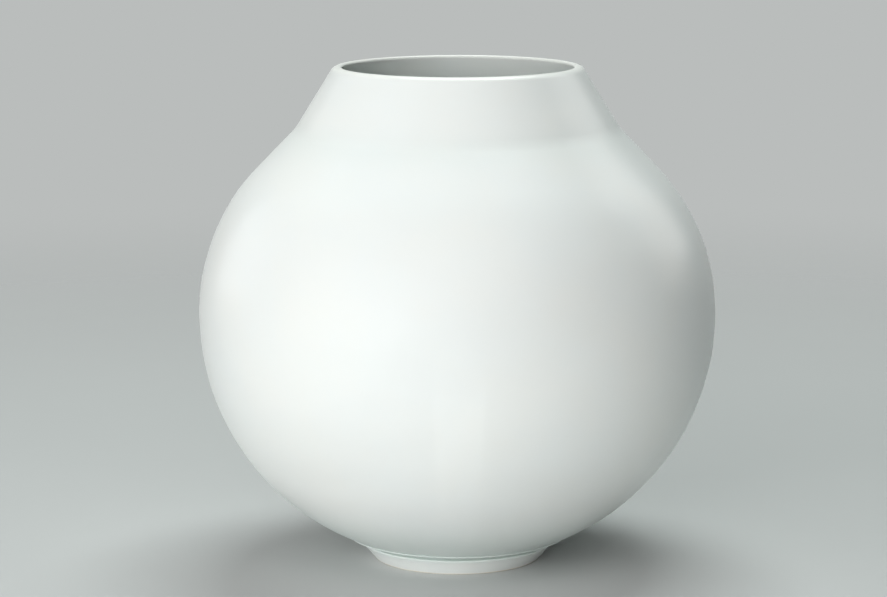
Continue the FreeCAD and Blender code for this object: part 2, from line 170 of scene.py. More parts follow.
lip_centre = LIP - [0, LIP_ROUND]
to_lip = lip_centre - NECK
cone_lean = direction(to_lip) - math.pi / 2 - math.asin(LIP_ROUND / np.linalg.norm(to_lip))
up_cone = unit(cone_lean + math.pi / 2)
cone_top = lip_centre + LIP_ROUND * unit(cone_lean)
drop = (LIP_ROUND - LIP_INNER_ROUND) * math.sin(cone_lean)
crest_run = (COLLAR_WALL - LIP_ROUND - LIP_INNER_ROUND + drop) / math.cos(cone_lean)
inner_crest = LIP - [crest_run, 0]
inner_lip_centre = inner_crest - [0, LIP_INNER_ROUND]
inner_cone_top = inner_lip_centre - LIP_INNER_ROUND * unit(cone_lean)
turn = lean - cone_lean
reach = NECK_SWEEP * math.tan(turn / 2)
inner_sweep = NECK_SWEEP + WALL
inner_reach = inner_sweep * math.tan(turn / 2)
inner_neck = NECK - WALL * unit(lean) + (COLLAR_WALL - WALL * math.cos(turn)) / math.sin(turn) * up_shoulder
leans = [round(math.degrees(angle), 1) for angle in (lean, cone_lean)]
print("shoulder and cone lean inwards by", leans, "degrees")

# %% [markdown]
# ## A thrown jar is never quite round
#
# The two halves of a moon jar settle on each other while the clay is soft, so the real one is a little out
# of round, its mouth sits slightly to one side, and its wall keeps the slow swell of the potter's hands.
# Noise in the material could fake this, but a glossy wall shows it in every reflection, so it is put into
# the shape. One function moves any point of the jar. Because it depends only on where the point is, pieces
# that touch still touch after it, and the seams stay closed.

# %% The hand of the potter
MOUTH_SHIFT = 0.76 * MM
ROUNDNESS = 0.30 * MM
SWELL = 0.07 * MM
OVAL_TURN, OVAL_PEAK = 0.55, 1.45
THREE_SIDED, THREE_TURN = 0.45, 1.3
SWELL_PEAK = 1.2
FOOT_TOP, UNEVEN_FROM = 24 * MM, 70 * MM
STILL_WITHIN, WAVY_FROM = 60 * MM, 110 * MM
QUICK_WAVE, QUICK_DRIFT, DRIFT_TURN = 5.3 * MM, 0.9, 0.4
SLOW_WAVE, SLOW_SHARE = 13.0 * MM, 1.3
SHIFT_FROM = 300 * MM
NEAR_AXIS = 1 * MM


def ease(value, low, high):
    """0 below low, 1 above high, and a smooth step between: 3 s² - 2 s³."""
    share = np.clip((value - low) / (high - low), 0.0, 1.0)
    return share * share * (3 - 2 * share)


def thrown(points):
    """Moves points as the throwing did. The radius changes by an oval and a three-sided wave round the
    axis and by slow waves up the wall that drift round it, all fading out at the foot. The waves' peaks are
    taken off, so that the jar hardly grows and stays in its box. The mouth slides along X."""
    x, y, z = np.moveaxis(points, -1, 0)
    radius = np.hypot(x, y)
    around = np.arctan2(y, x)
    size = radius / BELLY[0]
    high = ease(z, FOOT_TOP, UNEVEN_FROM)
    oval = np.cos(2 * (around - OVAL_TURN)) + THREE_SIDED * np.cos(3 * around + THREE_TURN)
    swell = (np.sin(z / QUICK_WAVE + QUICK_DRIFT * np.sin(around + DRIFT_TURN))
             + SLOW_SHARE * np.sin(z / SLOW_WAVE - around))
    wavy = ease(radius, STILL_WITHIN, WAVY_FROM)
    change = high * (ROUNDNESS * (oval - OVAL_PEAK) * size + SWELL * (swell - SWELL_PEAK) * wavy)
    scale = 1 + change / np.maximum(radius, NEAR_AXIS)
    shift = MOUTH_SHIFT * ease(z, SHIFT_FROM, LIP[1])
    return np.stack([x * scale + shift, y * scale, z], axis=-1)


test = thrown(np.array([[BELLY[0], 0.0, BELLY[1]], [0.0, BELLY[0], 0.3]]))
print("a point of the belly moves to", np.round(test[0] / MM, 2))

# %% [markdown]
# ## Turning a section
#
# A surface of revolution is a grid: rows go up the section and columns go round the axis. Blender's Spin or
# Screw tools could turn the section, but with numpy the whole grid is one array, and the exact normals can be
# worked out too. They matter here: two pieces that meet at a seam would otherwise be shaded apart, and a dark
# line would show where the real glaze runs straight over the joint.

# %% Points and normals of a turned section
AROUND = 360
ANGLES = np.arange(AROUND) * (2 * math.pi / AROUND)
NORMAL_STEP = 0.02 * MM
NORMAL_TURN = 2e-4
ON_AXIS = 0.01 * MM
TINY = 1e-12


def placed(rows, angles):
    """The section's points turned to each angle, then thrown: (r cos a, r sin a, z)."""
    r, z = rows[:, None, 0], rows[:, None, 1]
    return thrown(np.stack([r * np.cos(angles), r * np.sin(angles), z + 0 * angles], -1))


def normals_of(rows, along, angles):
    """Outward direction of the thrown surface: the cross product of a small step round the axis and a small
    step along the section."""
    round_axis = placed(rows, angles + NORMAL_TURN) - placed(rows, angles - NORMAL_TURN)
    up_section = placed(rows + NORMAL_STEP * along, angles) - placed(rows - NORMAL_STEP * along, angles)
    normal = np.cross(round_axis, up_section)
    on_axis = rows[:, 0] < ON_AXIS
    normal[on_axis] = -along[on_axis, :1, None] * [0.0, 0.0, 1.0]
    return normal / np.maximum(np.linalg.norm(normal, axis=-1, keepdims=True), TINY)


print("columns round the axis:", len(ANGLES))

# %% [markdown]
# The grid becomes a mesh of four-sided faces, and of triangles where a piece closes on the axis. Most meshes
# can be shaded smooth by Blender alone, which takes the mean of the faces round a point. A piece of the jar
# has crisp edges beside round walls, so each corner of each face gets its own normal, from its own run.

# %% Turn a section into a mesh


def turned(name, runs, bare):
    """A closed piece from the runs of its section. Rows that lie on the axis become one point, and a section
    that doesn't reach the axis closes on itself. Faces of the bare runs take the piece's second material."""
    rows = np.concatenate([points[:-1] for points, _ in runs] + [runs[-1][0][-1:]])
    grid = placed(rows, ANGLES)
    index = np.arange(len(rows) * AROUND).reshape(len(rows), AROUND)
    if max(rows[0, 0], rows[-1, 0]) < ON_AXIS:
        vertices = np.concatenate([grid[0, :1], grid[1:-1].reshape(-1, 3), grid[-1, :1]])
        index = np.clip(index - AROUND + 1, 0, None)
        index[0], index[-1] = 0, len(vertices) - 1
    else:
        vertices = grid[:-1].reshape(-1, 3)
        index[-1] = index[0]

    low = np.concatenate([normals_of(points[:-1], along[:-1], ANGLES) for points, along in runs])
    high = np.concatenate([normals_of(points[1:], along[1:], ANGLES) for points, along in runs])
    ahead = np.roll(np.arange(AROUND), -1)
    corners = np.stack([index[:-1], index[:-1][:, ahead], index[1:][:, ahead], index[1:]], -1).reshape(-1, 4)
    normals = np.stack([low, low[:, ahead], high[:, ahead], high], -2).reshape(-1, 4, 3)
    kept = np.ones(corners.shape, bool)
    kept[:, 1] = corners[:, 1] != corners[:, 0]
    kept[:, 2] = corners[:, 2] != corners[:, 3]
    sides = kept.sum(1)
    rows_of_run = [len(points) - 1 for points, _ in runs]
    bare_runs = np.isin(np.arange(len(runs)), bare).astype(np.int32)
    material_index = np.repeat(bare_runs, rows_of_run).repeat(AROUND)

    mesh = bpy.data.meshes.new(name)
    mesh.vertices.add(len(vertices))
    mesh.vertices.foreach_set("co", vertices.ravel())
    mesh.loops.add(int(sides.sum()))
    mesh.loops.foreach_set("vertex_index", corners[kept])
    mesh.polygons.add(len(sides))
    mesh.polygons.foreach_set("loop_start", np.concatenate([[0], np.cumsum(sides)[:-1]]))
    mesh.update(calc_edges=True)
    mesh.polygons.foreach_set("use_smooth", np.ones(len(sides), bool))
    mesh.polygons.foreach_set("material_index", material_index)
    mesh.normals_split_custom_set(normals[kept])
    mesh.update()
    piece = bpy.data.objects.new(name, mesh)
    bpy.context.scene.collection.objects.link(piece)
    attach(piece, "root")
    print(name, len(vertices), "points,", int((sides - 2).sum()), "triangles")
    return piece


# %% [markdown]
# ## Two bowls, joined at the belly
#
# The lower bowl's wall is an arc from the belly down to the seat of the foot. Its rim has a V groove, the
# upper bowl's rim a V tongue, and a thin layer of slip lies between. None of that shows once the jar is
# glazed: the sections meet edge to edge, so the outline passes the belly without a break.

# %% The lower bowl
GROOVE = BELLY + [-WALL / 2, -KEY_DEPTH]
lower_outside = arc(lower_centre, lower_radius, direction(SEAT - lower_centre), 0.0)
lower_inside = arc(inner_lower_centre, inner_lower_radius,
                   0.0, direction(FLOOR_EDGE - inner_lower_centre), INSIDE_STEP)
lower_bowl = turned("lower_bowl_glazed", [
    straight((0, RECESS[1]), RECESS, HIDDEN_STEP),
    straight(RECESS, SEAT, HIDDEN_STEP),
    lower_outside,
    straight(BELLY, GROOVE),
    straight(GROOVE, inner_rim),
    lower_inside,
    straight(FLOOR_EDGE, (0, FLOOR_EDGE[1]), FLOOR_STEP),
], bare=(1, 3, 4))
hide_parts("lower_bowl")

# %% The upper bowl
TONGUE = GROOVE + [0, SLIP]
inner_upper_rim = inner_rim + [0, SLIP]
upper_outside = arc(upper_centre, upper_radius, 0.0, lean)
upper_inside = arc(upper_centre, upper_radius - WALL, lean, 0.0, INSIDE_STEP)
upper_bowl = turned("upper_bowl_glazed", [
    upper_outside,
    straight(bend, joint),
    straight(joint, inner_joint),
    straight(inner_joint, inner_bend),
    upper_inside,
    straight(inner_upper_rim, TONGUE),
    straight(TONGUE, upper_rim),
], bare=(2, 5, 6))
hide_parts("upper_bowl")

# %% [markdown]
# ## Slip and coil
#
# Slip is liquid clay, the glue of a potter. A layer of it sits in the belly seam and another under the
# collar, and a soft coil is pressed over the belly seam inside, where nobody sees it but a hand can feel it.
# They stay pieces of their own, because that is how the jar goes together.

# %% The slip in the belly seam
belly_slip = turned("belly_seam_slip", [
    straight(BELLY, upper_rim),
    straight(upper_rim, TONGUE),
    straight(TONGUE, inner_upper_rim),
    straight(inner_upper_rim, inner_rim),
    straight(inner_rim, GROOVE),
    straight(GROOVE, BELLY),
], bare=(1, 2, 4, 5))
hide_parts("belly_slip")

# %% The coil inside the belly
COIL_HALF = 14.0 * MM
COIL_CREST = np.array([206.0, 208.5]) * MM


def circle_through(a, b, c):
    """Centre of the circle through three points: where the two chords' upright bisectors cross."""
    sums = np.array([b @ b - a @ a, c @ c - b @ b]) / 2
    return np.linalg.solve(np.array([b - a, c - b]), sums)


coil_low_angle = math.asin((COIL_CREST[1] - COIL_HALF - inner_rim[1]) / inner_lower_radius)
coil_high_angle = math.asin((COIL_CREST[1] + COIL_HALF - inner_upper_rim[1]) / (upper_radius - WALL))
coil_low = inner_lower_centre + inner_lower_radius * unit(coil_low_angle)
coil_high = upper_centre + (upper_radius - WALL) * unit(coil_high_angle)
ridge_centre = circle_through(coil_low, COIL_CREST, coil_high)
ridge_radius = np.linalg.norm(coil_low - ridge_centre)
ridge_from = direction(coil_high - ridge_centre) % (2 * math.pi)
ridge_to = direction(coil_low - ridge_centre) % (2 * math.pi)
belly_coil = turned("belly_seam_coil", [
    arc(inner_lower_centre, inner_lower_radius, coil_low_angle, 0.0),
    straight(inner_rim, inner_upper_rim),
    arc(upper_centre, upper_radius - WALL, 0.0, coil_high_angle),
    arc(ridge_centre, ridge_radius, ridge_from, ridge_to),
], bare=(0, 1, 2))
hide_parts("belly_coil")

# %% The slip under the collar
collar_slip = turned("collar_seam_slip", [
    straight(joint, collar_foot),
    straight(collar_foot, inner_collar_foot),
    straight(inner_collar_foot, inner_joint),
    straight(inner_joint, joint),
], bare=(1, 3))
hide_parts("collar_slip")

# %% [markdown]
# ## The collar and its lip
#
# The collar carries the shoulder on, sweeps up into a cone and ends in a lip. The lip is the jar's finest
# edge: the potter wipes it with wet leather, which rounds it wide outside and tight inside. Short steps here
# keep the highlight on it crisp.

# %% The neck collar
LIP_STEP = 0.5 * MM
LIP_INNER_STEP = 0.4 * MM
collar = turned("neck_collar_glazed", [
    straight(collar_foot, NECK - reach * up_shoulder),
    backwards(arc(NECK - reach * up_shoulder + NECK_SWEEP * unit(lean), NECK_SWEEP,
                  cone_lean + math.pi, lean + math.pi)),
    straight(NECK + reach * up_cone, cone_top),
    arc(lip_centre, LIP_ROUND, cone_lean, math.pi / 2, LIP_STEP),
    straight(LIP, inner_crest, LIP_STEP),
    arc(inner_lip_centre, LIP_INNER_ROUND, math.pi / 2, cone_lean + math.pi, LIP_INNER_STEP),
    straight(inner_cone_top, inner_neck + inner_reach * up_cone, INSIDE_STEP),
    arc(inner_neck - inner_reach * up_shoulder + inner_sweep * unit(lean), inner_sweep,
        cone_lean + math.pi, lean + math.pi),
    straight(inner_neck - inner_reach * up_shoulder, inner_collar_foot, INSIDE_STEP),
    straight(inner_collar_foot, collar_foot),
], bare=(9,))
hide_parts("neck_collar")

# %% [markdown]
# ## The foot
#
# The foot ring is luted into a seat that is trimmed under the bowl. A ridge of slip squeezes out at the
# seat's edge, and a groove is turned below it, so a light line and a dark line run round the jar just above
# the foot. The edges of the ring are softened, and the glaze rounds them further.

# %% The slip on the seat
FACE_TOP = np.array([81.5, 14.1]) * MM
GROOVE_DEPTH = 4.0 * MM
seat_out = (SEAT - RECESS) / np.linalg.norm(SEAT - RECESS)
seat_down = np.array([seat_out[1], -seat_out[0]])
slip_corner = RECESS - [0, SLIP / seat_out[0]]
groove_root = slip_corner + seat_out * (FACE_TOP[0] - GROOVE_DEPTH - slip_corner[0]) / seat_out[0]
RIDGE_REACH = 1.4 * MM
RIDGE_STEP = 0.2 * MM
half_slip = SLIP / 2
ridge_angle = direction(seat_out)
ridge_start = SEAT + (RIDGE_REACH - half_slip) * seat_out
foot_slip = turned("foot_seam_slip", [
    straight(slip_corner, groove_root, HIDDEN_STEP),
    straight(groove_root, ridge_start + SLIP * seat_down),
    arc(ridge_start + half_slip * seat_down, half_slip,
        ridge_angle - math.pi / 2, ridge_angle + math.pi / 2, RIDGE_STEP),
    straight(ridge_start, SEAT),
    straight(SEAT, RECESS, HIDDEN_STEP),
    straight(RECESS, slip_corner),
], bare=(0, 4))
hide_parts("foot_slip")

# %% The foot ring
GROUND_OUT = np.array([69.3, 0.0]) * MM
GROUND_IN = np.array([60.3, 0.0]) * MM
EDGE_ROUND = 1.0 * MM
EDGE_STEP = 0.35 * MM
SAME_POINT = 1e-7


def rounded(corners, radii):
    """Runs along a polygon whose corners are rounded. At each corner the arc starts and ends where it touches
    both sides: radius / tan(half the corner's angle) away from the corner."""
    corners = [np.asarray(c, float) for c in corners]
    runs, at = [], None
    for k, corner in enumerate(corners):
        before, after = corners[k - 1] - corner, corners[(k + 1) % len(corners)] - corner
        before, after = before / np.linalg.norm(before), after / np.linalg.norm(after)
        half = math.acos(np.clip(before @ after, -1, 1)) / 2
        away = radii[k] / math.tan(half)
        first, last = corner + away * before, corner + away * after
        if at is not None and np.linalg.norm(first - at) > SAME_POINT:
            runs.append(straight(at, first))
        if radii[k] > 0:
            middle = (before + after) / np.linalg.norm(before + after) * radii[k] / math.sin(half) + corner
            start = direction(first - middle)
            sweep = (direction(last - middle) - start + math.pi) % (2 * math.pi) - math.pi
            runs.append(arc(middle, radii[k], start, start + sweep, EDGE_STEP))
        at = last
        if k == 0:
            begin = first
    runs.append(straight(at, begin))
    return runs


foot_ring = turned("foot_ring_glazed", rounded(
    [slip_corner, GROUND_IN, GROUND_OUT, FACE_TOP, groove_root],
    [0.0, EDGE_ROUND, EDGE_ROUND, EDGE_ROUND, 0.0]), bare=(7,))
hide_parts("foot_ring")

# %% [markdown]
# ## Where the glaze pools, with painted shade
#
# Glaze runs while it melts. It gathers in hollows, above the foot and at the bottom inside, and there it
# looks faintly blue-green, while it thins and warms on edges such as the lip. The pool amount is partly that
# real pooling and partly painted shade: its darker blue-green tint lies in the groove above the foot, under
# the lower bowl, in the neck and at the bottom inside, where shade falls. The material could only guess at
# hollows, so each piece carries the two amounts as attributes, from its own points. The inside is told apart
# by the outline: a point well within it, at the same height, can only be inside.

# %% Mark hollows, painted shade and edges
INSIDE_DEPTH = 3.2 * MM
# Pool amounts: partly glaze pooling, partly painted shade in the groove above the foot, under the lower bowl,
# in the neck and at the bottom inside
GROOVE_HEIGHT, GROOVE_REACH, GROOVE_POOL_AND_SHADE = 17 * MM, 4 * MM, 0.55
RING_SIDE = (70 * MM, 80 * MM)
LOW_WALL_HEIGHT, LOW_WALL_RADIUS, LOW_WALL_POOL_AND_SHADE = (18 * MM, 75 * MM), (80 * MM, 92 * MM), 0.4
NECK_HEIGHT, NECK_REACH, NECK_POOL_AND_SHADE = NECK[1] - 4 * MM, 13 * MM, 0.10
WELL_HEIGHT, WELL_POOL_AND_SHADE = (18 * MM, 45 * MM), 0.4
LIP_REACH, GROUND_REACH = 2.2 * MM, 1.2 * MM


def near(value, middle, width):
    """1 at the middle and falling off on both sides: exp(-((value - middle) / width)²)."""
    return np.exp(-((value - middle) / width) ** 2)


outline = np.concatenate([lower_outside[0], upper_outside[0], [joint, NECK, LIP]])


def mark_glaze(piece):
    """Writes pool and thin, from 0 to 1, on each point, from its distance from the axis and its height. The
    pool amount is partly glaze pooling and partly painted shade, darker in hollows and under the bowl. A
    point is inside the jar when it lies a few millimetres within the outline at its own height."""
    points = np.empty(len(piece.data.vertices) * 3)
    piece.data.vertices.foreach_get("co", points)
    x, y, z = points.reshape(-1, 3).T
    r = np.hypot(x, y)
    within = r < np.interp(z, outline[:, 1], outline[:, 0]) - INSIDE_DEPTH
    inside = within & (z > FLOOR_EDGE[1] - SAME_POINT)
    # Each pool amount is partly glaze pooling and partly painted shade where shade falls
    outer_foot = near(z, GROOVE_HEIGHT, GROOVE_REACH) * ease(r, *RING_SIDE) * GROOVE_POOL_AND_SHADE
    low_wall = (1 - ease(z, *LOW_WALL_HEIGHT)) * ease(r, *LOW_WALL_RADIUS) * LOW_WALL_POOL_AND_SHADE
    neck = near(z, NECK_HEIGHT, NECK_REACH) * NECK_POOL_AND_SHADE
    well = WELL_POOL_AND_SHADE * (1 - ease(z, *WELL_HEIGHT))
    pool_and_shade = np.clip(np.where(inside, well, np.maximum.reduce([outer_foot, low_wall, neck])), 0, 1)
    thin = np.clip(near(z, LIP[1], LIP_REACH) + near(z, 0.0, GROUND_REACH), 0, 1)
    for key, value in (("pool_and_shade", pool_and_shade), ("thin", thin)):
        layer = piece.data.attributes.new(key, "FLOAT", "POINT")
        layer.data.foreach_set("value", value.astype(np.float32))


clay_pieces = [lower_bowl, upper_bowl, belly_slip, belly_coil, collar_slip, collar, foot_slip, foot_ring]
for piece in clay_pieces:
    mark_glaze(piece)
print(len(clay_pieces), "pieces carry pool and thin")

# %% [markdown]
# ## Nodes in a few words
#
# A material is a graph of nodes. This helper adds a node, fills its inputs and links it in one call, so that
# each material below reads like a recipe.

# %% A helper for node graphs


def add(tree, kind, inputs=None, **settings):
    """Adds a node, sets its properties, and fills its inputs: with a value, or with a link from a socket."""
    node = tree.nodes.new(kind)
    for key, value in settings.items():
        setattr(node, key, value)
    for key, value in (inputs or {}).items():
        if isinstance(value, bpy.types.NodeSocket):
            tree.links.new(value, node.inputs[key])
        else:
            node.inputs[key].default_value = value
    return node


def linear(red, green, blue, alpha=1.0):
    """A colour given on screen, 0 to 255, as the linear values that shaders use."""
    share = np.array([red, green, blue]) / 255
    value = np.where(share <= 0.04045, share / 12.92, ((share + 0.055) / 1.055) ** 2.4)
    return (*value.tolist(), alpha)


def new_group(name, inputs, outputs):
    """A shader node group with named sockets. Inputs come as name: (kind, value), outputs as name: kind."""
    tree = bpy.data.node_groups.new(name, "ShaderNodeTree")
    for key, (kind, value) in inputs.items():
        tree.interface.new_socket(key, in_out="INPUT", socket_type=kind).default_value = value
    for key, kind in outputs.items():
        tree.interface.new_socket(key, in_out="OUTPUT", socket_type=kind)
    return tree, tree.nodes.new("NodeGroupInput"), tree.nodes.new("NodeGroupOutput")


print("milk white is", [round(c, 3) for c in linear(242, 246, 244)])

# %% [markdown]
# ## The glaze
#
# Moon-jar glaze is clear with a breath of blue-green, over a very white body, so the jar reads as milk white
# and only its thick places show colour. The darker blue-green pool tint is partly that and partly painted
# shade in hollows and under the bowl. Up close the glaze has soft clouds, fine turning lines from the clay
# below, an orange-peel skin, pinholes where gas escaped, and a few tiny iron specks. All of that changes over
# the surface, so it lives in one group that puts out a colour, a roughness and a height. What is constant,
# such as the glass's refraction, is set on each material's own shader.

# %% Glaze details as a node group
GLAZE_INPUTS = {
    "Milk": ("NodeSocketColor", linear(242, 246, 244)),
    "Warm Milk": ("NodeSocketColor", linear(245, 246, 241)),
    # The pool tint is partly glaze pooling and partly painted shade: darker blue-green in hollows and under
    # the bowl
    "Pool And Shade Tint": ("NodeSocketColor", linear(206, 224, 218)),
    "Iron": ("NodeSocketColor", linear(150, 126, 100)),
    "Cloud": ("NodeSocketFloat", 0.5),
    "Specks": ("NodeSocketFloat", 0.5),
    "Roughness": ("NodeSocketFloat", 0.31),
}
glaze_group, group_in, group_out = new_group(
    "Celadon Breath Glaze", GLAZE_INPUTS,
    {"Color": "NodeSocketColor", "Roughness": "NodeSocketFloat", "Height": "NodeSocketFloat"})
place = add(glaze_group, "ShaderNodeTexCoord").outputs["Object"]
pool_and_shade = add(glaze_group, "ShaderNodeAttribute", attribute_name="pool_and_shade").outputs["Fac"]
thin = add(glaze_group, "ShaderNodeAttribute", attribute_name="thin").outputs["Fac"]

# Clouds: two noises, one a hand wide and one a finger wide
clouds = add(glaze_group, "ShaderNodeTexNoise", {
    "Vector": place, "Scale": 11.0, "Detail": 4.0, "Roughness": 0.55})
small_clouds = add(glaze_group, "ShaderNodeTexNoise", {"Vector": place, "Scale": 60.0, "Detail": 2.0})
cloud_mask = add(glaze_group, "ShaderNodeMapRange", {
    "Value": clouds.outputs["Fac"], "From Min": 0.38, "From Max": 0.66, "To Min": 0.0, "To Max": 1.0})
cloud_share = add(glaze_group, "ShaderNodeMath", {
    0: cloud_mask.outputs["Result"], 1: group_in.outputs["Cloud"]}, operation="MULTIPLY")
milky = add(glaze_group, "ShaderNodeMix", {
    "Factor": cloud_share.outputs[0], "A": group_in.outputs["Milk"],
    "B": group_in.outputs["Warm Milk"]}, data_type="RGBA")
print("the glaze group has", len(glaze_group.nodes), "nodes so far")

# %% [markdown]
# The pooled glaze is tinted next, together with the painted shade in hollows and under the bowl. A noise
# breaks its edge, because a pool never ends in a ruled line.

# %% Pools and painted shade, specks and pinholes
pool_and_shade_edge = add(glaze_group, "ShaderNodeMath", {
    0: small_clouds.outputs["Fac"], 1: 0.6, 2: 0.7}, operation="MULTIPLY_ADD")
pool_and_shade_share = add(glaze_group, "ShaderNodeMath", {
    0: pool_and_shade, 1: pool_and_shade_edge.outputs[0]}, operation="MULTIPLY", use_clamp=True)
# Darker blue-green where the glaze pools, and painted shade in hollows and under the bowl
pooled_and_shaded = add(glaze_group, "ShaderNodeMix", {
    "Factor": pool_and_shade_share.outputs[0], "A": milky.outputs["Result"],
    "B": group_in.outputs["Pool And Shade Tint"]}, data_type="RGBA")
thinned = add(glaze_group, "ShaderNodeMix", {
    "Factor": thin, "A": pooled_and_shaded.outputs["Result"], "B": group_in.outputs["Warm Milk"]}, data_type="RGBA")


def scattered(scale, size, share):
    """A mask of small round dots: cells of a Voronoi pattern, of which only a share holds a dot."""
    cells = add(glaze_group, "ShaderNodeTexVoronoi", {"Vector": place, "Scale": scale, "Randomness": 1.0})
    dot = add(glaze_group, "ShaderNodeMapRange", {
        "Value": cells.outputs["Distance"], "From Min": size, "From Max": size * 0.35,
        "To Min": 0.0, "To Max": 1.0})
    chance = add(glaze_group, "ShaderNodeSeparateColor", {"Color": cells.outputs["Color"]})
    chosen = add(glaze_group, "ShaderNodeMath", {
        0: chance.outputs["Red"], 1: 1 - share}, operation="GREATER_THAN")
    dots = add(glaze_group, "ShaderNodeMath", {
        0: dot.outputs["Result"], 1: chosen.outputs[0]}, operation="MULTIPLY")
    return dots.outputs[0]


iron_dots = scattered(scale=70.0, size=0.045, share=0.05)
pinholes = scattered(scale=190.0, size=0.075, share=0.10)
speck_share = add(glaze_group, "ShaderNodeMath", {
    0: iron_dots, 1: group_in.outputs["Specks"]}, operation="MULTIPLY")
specked = add(glaze_group, "ShaderNodeMix", {
    "Factor": speck_share.outputs[0], "A": thinned.outputs["Result"],
    "B": group_in.outputs["Iron"]}, data_type="RGBA")
glaze_group.links.new(specked.outputs["Result"], group_out.inputs["Color"])

# %% [markdown]
# The height, in millimetres, adds three layers: turning lines, which are a noise squeezed flat so that it
# changes mostly with height, the orange-peel skin, and the pinholes. The roughness follows the small clouds:
# glaze is a touch more matt where it is thick and milky.

# %% Relief and gloss of the glaze
LINE_RELIEF, SKIN_RELIEF, PINHOLE_RELIEF = 0.014, 0.010, -0.03
BUMP_DISTANCE = 1.0 * MM
squeezed = add(glaze_group, "ShaderNodeMapping", {"Vector": place, "Scale": (3.0, 3.0, 420.0)})
lines = add(glaze_group, "ShaderNodeTexNoise", {
    "Vector": squeezed.outputs["Vector"], "Scale": 1.0, "Detail": 3.0})
skin = add(glaze_group, "ShaderNodeTexNoise", {"Vector": place, "Scale": 150.0, "Detail": 1.0})
line_height = add(glaze_group, "ShaderNodeMath", {
    0: lines.outputs["Fac"], 1: LINE_RELIEF}, operation="MULTIPLY")
skin_height = add(glaze_group, "ShaderNodeMath", {
    0: skin.outputs["Fac"], 1: SKIN_RELIEF, 2: line_height.outputs[0]}, operation="MULTIPLY_ADD")
relief = add(glaze_group, "ShaderNodeMath", {
    0: pinholes, 1: PINHOLE_RELIEF, 2: skin_height.outputs[0]}, operation="MULTIPLY_ADD")
glaze_group.links.new(relief.outputs[0], group_out.inputs["Height"])
cloud_gloss = add(glaze_group, "ShaderNodeMath", {
    0: small_clouds.outputs["Fac"], 1: 0.08, 2: -0.04}, operation="MULTIPLY_ADD")
glaze_roughness = add(glaze_group, "ShaderNodeMath", {
    0: group_in.outputs["Roughness"], 1: cloud_gloss.outputs[0]}, operation="ADD")
glaze_group.links.new(glaze_roughness.outputs[0], group_out.inputs["Roughness"])

# %% The glazed material
GLASS_IOR = 1.5


def glazed_material(name, **values):
    """A Principled shader fed by the glaze group. Names of values take an underscore for a space."""
    material = bpy.data.materials.new(name)
    material.use_nodes = True
    tree = material.node_tree
    shader = tree.nodes["Principled BSDF"]
    details = add(tree, "ShaderNodeGroup", node_tree=glaze_group)
    for key, value in values.items():
        details.inputs[key.replace("_", " ")].default_value = value
    bump = add(tree, "ShaderNodeBump", {
        "Height": details.outputs["Height"], "Distance": BUMP_DISTANCE, "Strength": 1.0})
    tree.links.new(details.outputs["Color"], shader.inputs["Base Color"])
    tree.links.new(details.outputs["Roughness"], shader.inputs["Roughness"])
    tree.links.new(bump.outputs["Normal"], shader.inputs["Normal"])
    shader.inputs["IOR"].default_value = GLASS_IOR
    return material, shader, details


glaze, _, _ = glazed_material("milk_glaze")
print("glazed:", glaze.name)

# %% [markdown]
# Where two pieces meet there is no glaze, only fired slip: white, matt and a little warm, with the fine grain
# of the clay. One sees it only when the jar is taken apart.

# %% Bare porcelain in the joints
bare_porcelain = bpy.data.materials.new("bare_porcelain")
bare_porcelain.use_nodes = True
bare_tree = bare_porcelain.node_tree
bare_shader = bare_tree.nodes["Principled BSDF"]
bare_place = add(bare_tree, "ShaderNodeTexCoord").outputs["Object"]
clay_grain = add(bare_tree, "ShaderNodeTexNoise", {"Vector": bare_place, "Scale": 700.0, "Detail": 3.0})
clay_colour = add(bare_tree, "ShaderNodeMix", {
    "Factor": clay_grain.outputs["Fac"], "A": linear(229, 226, 217),
    "B": linear(243, 240, 233)}, data_type="RGBA")
clay_bump = add(bare_tree, "ShaderNodeBump", {"Height": clay_grain.outputs["Fac"], "Distance": 0.08 * MM})
bare_tree.links.new(clay_colour.outputs["Result"], bare_shader.inputs["Base Color"])
bare_tree.links.new(clay_bump.outputs["Normal"], bare_shader.inputs["Normal"])
bare_shader.inputs["Roughness"].default_value = 0.85

for piece in (lower_bowl, upper_bowl, belly_slip, belly_coil, collar_slip, collar, foot_slip):
    piece.data.materials.append(glaze)
    piece.data.materials.append(bare_porcelain)
print("bare faces:", sum(1 for piece in clay_pieces if len(piece.data.materials) > 1), "pieces have some")

# %% [markdown]
# ## The foot's bare edge
#
# Where the jar stood in the kiln, its glaze was wiped away, or it would have fused to the shelf. The ring's
# ground face shows bare porcelain: matt, a little warmer, with a fine toasted line where the glaze ends and
# some grit. Both finishes share one material, mixed by height, so the glaze can end in an uneven line.

# %% Glaze above, bare clay below
foot_glaze, foot_shader, foot_details = glazed_material("foot_glaze_and_bare_edge", Specks=0.8)
foot_tree = foot_glaze.node_tree
foot_place = add(foot_tree, "ShaderNodeTexCoord").outputs["Object"]
height = add(foot_tree, "ShaderNodeSeparateXYZ", {"Vector": foot_place}).outputs["Z"]
waver = add(foot_tree, "ShaderNodeTexNoise", {"Vector": foot_place, "Scale": 45.0, "Detail": 2.0})
above_line = add(foot_tree, "ShaderNodeMath", {
    0: waver.outputs["Fac"], 1: -1.6 * MM, 2: height}, operation="MULTIPLY_ADD")
bare = add(foot_tree, "ShaderNodeMapRange", {
    "Value": above_line.outputs[0], "From Min": 0.2 * MM, "From Max": -0.15 * MM,
    "To Min": 0.0, "To Max": 1.0})
toasted = add(foot_tree, "ShaderNodeMapRange", {
    "Value": above_line.outputs[0], "From Min": 0.9 * MM, "From Max": 0.1 * MM,
    "To Min": 0.0, "To Max": 0.12})
grit = add(foot_tree, "ShaderNodeTexNoise", {"Vector": foot_place, "Scale": 900.0, "Detail": 2.0})
